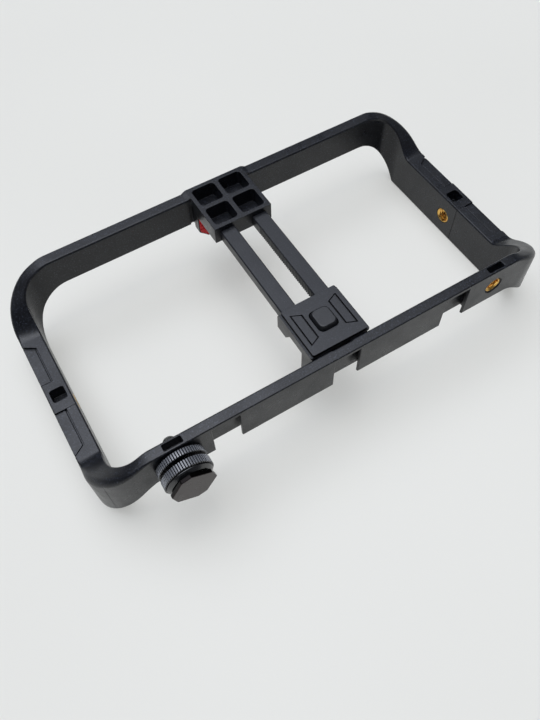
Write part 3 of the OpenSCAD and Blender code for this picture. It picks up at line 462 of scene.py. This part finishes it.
# Silicone rubber: saturated red, matt with a soft sheen, IOR 1.41, and lint in its surface.
red_silicone, tree = new_material("red_silicone")
place = add(tree, "TexCoord").outputs["Object"]
lint = add(tree, "TexNoise", {"Vector": place, "Scale": 1500.0, "Detail": 3.0})
gloss = add(tree, "MapRange", {"Value": lint.outputs["Fac"], "To Min": 0.42, "To Max": 0.62})
relief = add(tree, "Bump", {"Height": lint.outputs["Fac"], "Strength": 0.3, "Distance": 0.00005})
surface = add(tree, "BsdfPrincipled", {
    "Base Color": tones(tree, lint.outputs["Fac"], (0.35, "#c8171d"), (0.6, "#dc242b"), (0.78, "#e24e51")),
    "Roughness": gloss.outputs["Result"], "Normal": relief.outputs["Normal"], "IOR": 1.41,
    "Subsurface Weight": 0.1, "Subsurface Radius": (0.002, 0.0006, 0.0004)})
add(tree, "OutputMaterial", {"Surface": surface.outputs["BSDF"]})
for node, name, rides in (("fixed_jaw_pad", "fixed_pad", "frame"), ("slider_pad", "moving_pad", "slider")):
    pad = merged_copy(node, name, red_silicone)
    rounded_edges(pad, 0.00015, segments=3)
    smoothed(pad)
    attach(pad, rides)

# ---- Brass inserts ---------------------------------------------------------------------------
# Turned brass bushes with a 1/4 inch thread are moulded into the grips, the shoe rail and the
# back rail. Their mouths are chamfered.

# Free-cutting brass as turned: fine rings round each bush and a little dulling.
turned_brass, tree = new_material("turned_brass")
place = add(tree, "TexCoord").outputs["Object"]
dull = add(tree, "TexNoise", {"Vector": place, "Scale": 1200.0, "Detail": 3.0})
gloss = add(tree, "MapRange", {"Value": dull.outputs["Fac"], "To Min": 0.18, "To Max": 0.4})
relief = add(tree, "Bump", {"Height": dull.outputs["Fac"], "Strength": 0.15, "Distance": 0.00003})
surface = add(tree, "BsdfPrincipled", {
    "Base Color": tones(tree, dull.outputs["Fac"], (0.3, "#e0ac55"), (0.7, "#f2ca78")),
    "Metallic": 1.0, "Roughness": gloss.outputs["Result"], "Normal": relief.outputs["Normal"]})
add(tree, "OutputMaterial", {"Surface": surface.outputs["BSDF"]})

thread_pitch, thread_depth = 0.00127, 0.0005
bush_bore, bush_radius, bush_chamfer, bush_lead = 0.0032, 0.0041, 0.0004, 0.00065
long_length, long_turns, rail_length, rail_turns = 0.0072, 4.6, 0.0046, 2.6
grip_mouth, tripod_mouth = (grip_inner_x, 0.00915, 0.011), (0, 0.06385, 0.0336)
rail_mouth = (0.0785, -0.05005, 0.035)


def ring(name, inner, outer, length, chamfer, material):
    """A turned ring along Z from 0 to its length: a rectangle with cut corners, spun round."""
    bpy.ops.object.select_all(action="DESELECT")
    bpy.ops.mesh.primitive_plane_add(size=1, location=((inner + outer) / 2, 0, length / 2),
                                     rotation=(math.radians(90), 0, 0))
    piece = bpy.context.object
    piece.name = name
    piece.scale = (outer - inner, length, 1)
    bpy.ops.object.transform_apply(location=True, rotation=True, scale=True)
    piece.data.materials.append(material)
    in_edit()
    bpy.ops.mesh.bevel(offset=chamfer, segments=1, affect="VERTICES")
    bpy.ops.mesh.delete(type="ONLY_FACE")
    bpy.ops.mesh.select_all(action="SELECT")
    bpy.ops.mesh.spin(steps=64, angle=math.radians(360), axis=(0, 0, 1), center=(0, 0, 0))
    bpy.ops.mesh.select_all(action="SELECT")
    bpy.ops.mesh.remove_doubles(threshold=1e-6)
    bpy.ops.mesh.normals_make_consistent(inside=False)
    bpy.ops.object.mode_set(mode="OBJECT")
    return piece


def pick(piece, test):
    """Opens a piece in edit mode with the points selected whose place passes a test."""
    bpy.ops.object.mode_set(mode="OBJECT")
    bpy.context.tool_settings.mesh_select_mode = (True, False, False)
    for item in (*piece.data.polygons, *piece.data.edges):
        item.select = False
    for point in piece.data.vertices:
        point.select = test(point.co)
    bpy.ops.object.mode_set(mode="EDIT")


def thread_ridge(name, root, crest, start, turns, material):
    """One V-shaped ridge wound up Z from root to crest radius, its base sunk into its carrier."""
    sunk = math.copysign(0.0001, root - crest)
    bpy.ops.object.select_all(action="DESELECT")
    bpy.ops.mesh.primitive_plane_add(size=1, location=((root + sunk + crest) / 2, 0, start),
                                     rotation=(math.radians(90), 0, 0))
    piece = bpy.context.object
    piece.name = name
    piece.scale = (abs(root + sunk - crest), thread_pitch * 0.95, 1)
    bpy.ops.object.transform_apply(location=True, rotation=True, scale=True)
    piece.data.materials.append(material)
    pick(piece, lambda co: abs(co.x - crest) < 1e-5)
    bpy.ops.transform.resize(value=(1, 1, 0.16), center_override=(crest, 0, start))
    bpy.ops.mesh.select_all(action="SELECT")
    bpy.ops.mesh.delete(type="ONLY_FACE")
    bpy.ops.object.mode_set(mode="OBJECT")
    steps = round(28 * turns)
    apply(piece, "winding", "SCREW", axis="Z", angle=math.radians(360) * turns, steps=steps,
          render_steps=steps, screw_offset=thread_pitch * turns)
    in_edit("DESELECT")
    bpy.ops.mesh.select_non_manifold()
    bpy.ops.mesh.fill_holes(sides=4)
    bpy.ops.mesh.select_all(action="SELECT")
    bpy.ops.mesh.normals_make_consistent(inside=False)
    bpy.ops.object.mode_set(mode="OBJECT")
    return piece


def joined(*pieces):
    """Several meshes as one piece, named as the first."""
    bpy.ops.object.select_all(action="DESELECT")
    for piece in pieces:
        piece.select_set(True)
    bpy.context.view_layer.objects.active = pieces[0]
    bpy.ops.object.join()
    return pieces[0]


def threaded_bush(name, length, thread_turns):
    """An insert along Z, its mouth at 0."""
    bush = ring(name, bush_bore, bush_radius, length, bush_chamfer, turned_brass)
    if thread_turns:
        bush = joined(bush, thread_ridge("thread", bush_bore, bush_bore - thread_depth, bush_lead,
                                         thread_turns, turned_brass))
    return smoothed(bush, 32)


def put(piece, place, turn):
    """Moves a finished piece to its place, with its object left at the origin."""
    bpy.ops.object.select_all(action="DESELECT")
    piece.select_set(True)
    bpy.context.view_layer.objects.active = piece
    piece.location = place
    piece.rotation_euler = [math.radians(a) for a in turn]
    bpy.ops.object.transform_apply(location=True, rotation=True, scale=True)


long_bush = threaded_bush("long_bush", long_length, long_turns)
for node, name, place, turn in (
        ("grip_insert_left", "left_grip_bush", sided(-1, grip_mouth), (0, -90, 0)),
        ("grip_insert_right", "right_grip_bush", sided(1, grip_mouth), (0, 90, 0)),
        ("tripod_insert", "tripod_bush", tripod_mouth, (90, 0, 0))):
    bush = long_bush.copy()
    bush.data = long_bush.data.copy()
    bush.name = name
    bpy.context.collection.objects.link(bush)
    put(bush, place, turn)
    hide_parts(node)
    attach(bush, "frame")
bpy.data.objects.remove(long_bush)
# The left rail bush has no thread of its own: the adapter's screw fills it.
for node, name, side, turns in (
        ("shoe_rail_insert_left", "left_rail_bush", -1, 0),
        ("shoe_rail_insert_right", "right_rail_bush", 1, rail_turns)):
    bush = threaded_bush(name, rail_length, turns)
    put(bush, sided(side, rail_mouth), (-90, 0, 0))
    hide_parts(node)
    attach(bush, "frame")

# ---- Shoe adapter: screw and square foot -----------------------------------------------------
# A screw with a 1/4 inch thread goes right through the left insert. A square foot with cut
# corners is pressed on its outer end and slides into a cold shoe.

# Cut steel thread, slightly oiled: darker in patches, with a fine machined roughness.
cut_steel, tree = new_material("cut_steel")
place = add(tree, "TexCoord").outputs["Object"]
oil = add(tree, "TexNoise", {"Vector": place, "Scale": 900.0, "Detail": 3.0})
gloss = add(tree, "MapRange", {"Value": oil.outputs["Fac"], "To Min": 0.3, "To Max": 0.6})
relief = add(tree, "Bump", {"Height": oil.outputs["Fac"], "Strength": 0.2, "Distance": 0.00003})
surface = add(tree, "BsdfPrincipled", {
    "Base Color": tones(tree, oil.outputs["Fac"], (0.35, "#2e2f2e"), (0.65, "#4a4b48")),
    "Metallic": 1.0, "Roughness": gloss.outputs["Result"], "Normal": relief.outputs["Normal"]})
add(tree, "OutputMaterial", {"Surface": surface.outputs["BSDF"]})

adapter_place, adapter_turn = (-rail_mouth[0], front_face_y, rail_mouth[2]), (90, 0, 0)
to_axis = (-adapter_place[0], 0.0, -adapter_place[2])
stud_tip, stud_end, stud_core, stud_chamfer = -0.0101, 0.0115, 0.0027, 0.0008
tenon_radius, tenon_length = 0.002, 0.0011
screw_crest, screw_lead, screw_turns = 0.00315, 0.0012, 15.1

bpy.ops.object.select_all(action="DESELECT")
bpy.ops.mesh.primitive_cylinder_add(vertices=48, radius=stud_core, depth=stud_end - stud_tip,
                                    location=(0, 0, (stud_tip + stud_end) / 2))
stud = bpy.context.object
stud.name = "adapter_screw"
bpy.ops.object.transform_apply(location=True)
stud.data.materials.append(cut_steel)
pick(stud, lambda co: co.z < stud_tip + 1e-5)
bpy.ops.mesh.bevel(offset=stud_chamfer, segments=1, affect="EDGES")
pick(stud, lambda co: co.z > stud_end - 1e-5)
bpy.ops.mesh.inset(thickness=stud_core - tenon_radius, depth=0)
bpy.ops.mesh.extrude_region_move(TRANSFORM_OT_translate={"value": (0, 0, tenon_length)})
bpy.ops.mesh.select_all(action="SELECT")
bpy.ops.mesh.normals_make_consistent(inside=False)
bpy.ops.object.mode_set(mode="OBJECT")
stud = joined(stud, thread_ridge("thread", stud_core, screw_crest, stud_tip + screw_lead, screw_turns,
                                 cut_steel))
smoothed(stud, 32)
put(stud, adapter_place, adapter_turn)
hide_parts("adapter_stud")
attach(stud, "adapter_screw")

# Black-nickel plate over turned brass: a warm grey metal with faint rings round the foot's
# middle, from facing it in a lathe. The face is brownish grey; its rim has painted shade, near black.
black_nickel, tree = new_material("black_nickel")
place = add(tree, "TexCoord").outputs["Object"]
centred = add(tree, "Mapping", {"Vector": place, "Location": to_axis})
tooling = add(tree, "TexWave", {"Vector": centred.outputs["Vector"], "Scale": 900.0, "Distortion": 0.6,
                                "Detail": 1.0}, wave_type="RINGS", rings_direction="Y")
smear = add(tree, "TexNoise", {"Vector": place, "Scale": 250.0, "Detail": 3.0})
foot_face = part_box("adapter_foot")[0].y
depth = add(tree, "SeparateXYZ", {"Vector": place}).outputs["Y"]
# painted shade mask: from just behind the face, the rim and sides turn near black
edge = add(tree, "MapRange", {
    "Value": depth, "From Min": foot_face + 0.0001, "From Max": foot_face + 0.0003})
rubbed = tones(tree, smear.outputs["Fac"], (0.3, "#383332"), (0.7, "#454040"))
gloss = add(tree, "MapRange", {
    "Value": smear.outputs["Fac"], "From Min": 0.3, "From Max": 0.7, "To Min": 0.24, "To Max": 0.36})
relief = add(tree, "Bump", {"Height": tooling.outputs["Fac"], "Strength": 0.12, "Distance": 0.00002})
surface = add(tree, "BsdfPrincipled", {
    "Base Color": blended(tree, edge.outputs["Result"], rubbed, linear("#161414")),
    "Metallic": 1.0, "Roughness": gloss.outputs["Result"], "Normal": relief.outputs["Normal"]})
add(tree, "OutputMaterial", {"Surface": surface.outputs["BSDF"]})
foot = merged_copy("adapter_foot", "shoe_foot", black_nickel)
rounded_edges(foot, 0.00035, segments=4)
smoothed(foot)
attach(foot, "adapter_screw")

# ---- Shoe adapter: knurled nuts, flange and washer -------------------------------------------
# One knurled nut locks the adapter against the rail over a thin washer. The other drives a
# smooth flange, which clamps the foot in a shoe. All are turned aluminium, anodised black.

nut_radius, nut_bore, knurl_depth, nut_ridges = 0.0105, 0.0032, 0.0005, 60
# a ridge is four points on its crest and one in its valley
ridge_points, rim, rim_share = 5, 0.0003, 0.955
flange_radius, flange_length, flange_chamfer, flange_start = 0.0098, 0.0018, 0.0002, 0.0091
cone_radius, cone_drop, flange_middle = 0.0084, 0.0012, 0.007
washer_radius, washer_length, washer_chamfer, washer_start = 0.0075, 0.0005, 0.0001, 0.0001

# Black anodising: a hard clear oxide over dyed metal, IOR 1.76, with a satin sheen. The knurl's
# crests are painted grey as a painted highlight, while its valleys stay black.
black_anodising, tree = new_material("black_anodising")
place = add(tree, "TexCoord").outputs["Object"]
etch = add(tree, "TexNoise", {"Vector": place, "Scale": 1800.0, "Detail": 2.0})
gloss = add(tree, "MapRange", {"Value": etch.outputs["Fac"], "To Min": 0.14, "To Max": 0.3})
relief = add(tree, "Bump", {"Height": etch.outputs["Fac"], "Strength": 0.2, "Distance": 0.00003})
across = add(tree, "Mapping", {"Vector": place, "Location": to_axis, "Scale": (1.0, 0.0, 1.0)})
radius = add(tree, "VectorMath", {0: across.outputs["Vector"]}, operation="LENGTH")
# painted highlight mask: grey on the knurl's outer crests, black in the valleys and on the flange
painted_crest_highlight = add(tree, "MapRange", {
    "Value": radius.outputs["Value"], "From Min": nut_radius - 0.7 * knurl_depth, "From Max": nut_radius})
surface = add(tree, "BsdfPrincipled", {
    "Base Color": tones(tree, painted_crest_highlight.outputs["Result"], (0.1, "#0d0e0f"), (0.9, "#505256")),
    "Roughness": gloss.outputs["Result"], "Normal": relief.outputs["Normal"], "IOR": 1.76})
add(tree, "OutputMaterial", {"Surface": surface.outputs["BSDF"]})


def out_from_rail(start):
    """The place on the adapter's axis that is a distance out from the rail's front face."""
    return adapter_place[0], adapter_place[1] - start, adapter_place[2]


def radius_of(co):
    """A point's distance from the Z axis."""
    return Vector((co.x, co.y, 0)).length


def knurled_nut(name, length):
    """A nut along Z from 0 to its length, with straight ridges and chamfered rims."""
    bpy.ops.object.select_all(action="DESELECT")
    bpy.ops.mesh.primitive_cylinder_add(vertices=ridge_points * nut_ridges, radius=nut_radius,
                                        depth=length - 2 * rim, end_fill_type="NOTHING",
                                        location=(0, 0, length / 2))
    nut = bpy.context.object
    nut.name = name
    bpy.ops.object.transform_apply(location=True)
    nut.data.materials.append(black_anodising)
    step = math.tau / ridge_points / nut_ridges
    pick(nut, lambda co: round(math.atan2(co.y, co.x) / step) % ridge_points == 0)
    valley = 1 - knurl_depth / nut_radius
    bpy.ops.transform.resize(value=(valley, valley, 1), center_override=(0, 0, 0))
    for end, way in ((rim, -1), (length - rim, 1)):
        pick(nut, lambda co: abs(co.z - end) < 1e-5)
        bpy.ops.mesh.extrude_region_move(TRANSFORM_OT_translate={"value": (0, 0, way * rim)})
        bpy.ops.transform.resize(value=(rim_share, rim_share, 1), center_override=(0, 0, 0))
        bpy.ops.mesh.extrude_region_move()
        share = nut_bore / nut_radius / rim_share
        bpy.ops.transform.resize(value=(share, share, 1), center_override=(0, 0, 0))
    pick(nut, lambda co: radius_of(co) < nut_bore + 0.0001)
    bpy.ops.mesh.bridge_edge_loops()
    bpy.ops.mesh.select_all(action="SELECT")
    bpy.ops.mesh.normals_make_consistent(inside=False)
    bpy.ops.object.mode_set(mode="OBJECT")
    rounded_edges(nut, 0.00005, angle=25)
    return smoothed(nut, 30)


for node, name, length, start in (
        ("lock_nut", "knurled_lock_nut", 0.0031, 0.0007),
        ("clamp_nut", "knurled_clamp_nut", 0.0038, 0.0052)):
    nut = knurled_nut(name, length)
    put(nut, out_from_rail(start), adapter_turn)
    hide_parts(node)
    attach(nut, node)

# The flange is a ring whose outer side is drawn into a cone towards the foot.
flange = ring("smooth_flange", nut_bore, flange_radius, flange_length, flange_chamfer, black_anodising)
pick(flange, lambda co: co.z > flange_length - 0.00005 and radius_of(co) > flange_middle)
share = cone_radius / (flange_radius - flange_chamfer)
bpy.ops.transform.resize(value=(share, share, 1), center_override=(0, 0, 0))
rim_height = flange_length - flange_chamfer
pick(flange, lambda co: abs(co.z - rim_height) < 0.0001 and radius_of(co) > flange_middle)
bpy.ops.transform.translate(value=(0, 0, -cone_drop))
bpy.ops.object.mode_set(mode="OBJECT")
rounded_edges(flange, 0.00015, segments=3, angle=25)
smoothed(flange, 32)
put(flange, out_from_rail(flange_start), adapter_turn)
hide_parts("clamp_flange")
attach(flange, "clamp_flange")

# Black fibre washer: dull, slightly fuzzy.
fibre, tree = new_material("black_fibre")
place = add(tree, "TexCoord").outputs["Object"]
fuzz = add(tree, "TexNoise", {"Vector": place, "Scale": 2500.0, "Detail": 3.0})
relief = add(tree, "Bump", {"Height": fuzz.outputs["Fac"], "Strength": 0.4, "Distance": 0.00005})
surface = add(tree, "BsdfPrincipled", {
    "Base Color": tones(tree, fuzz.outputs["Fac"], (0.35, "#0d0d0e"), (0.7, "#1b1b1d")),
    "Roughness": 0.7, "Normal": relief.outputs["Normal"]})
add(tree, "OutputMaterial", {"Surface": surface.outputs["BSDF"]})
washer = ring("fibre_washer", nut_bore, washer_radius, washer_length, washer_chamfer, fibre)
smoothed(washer, 32)
put(washer, out_from_rail(washer_start), adapter_turn)
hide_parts("lock_washer")
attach(washer, "lock_washer")
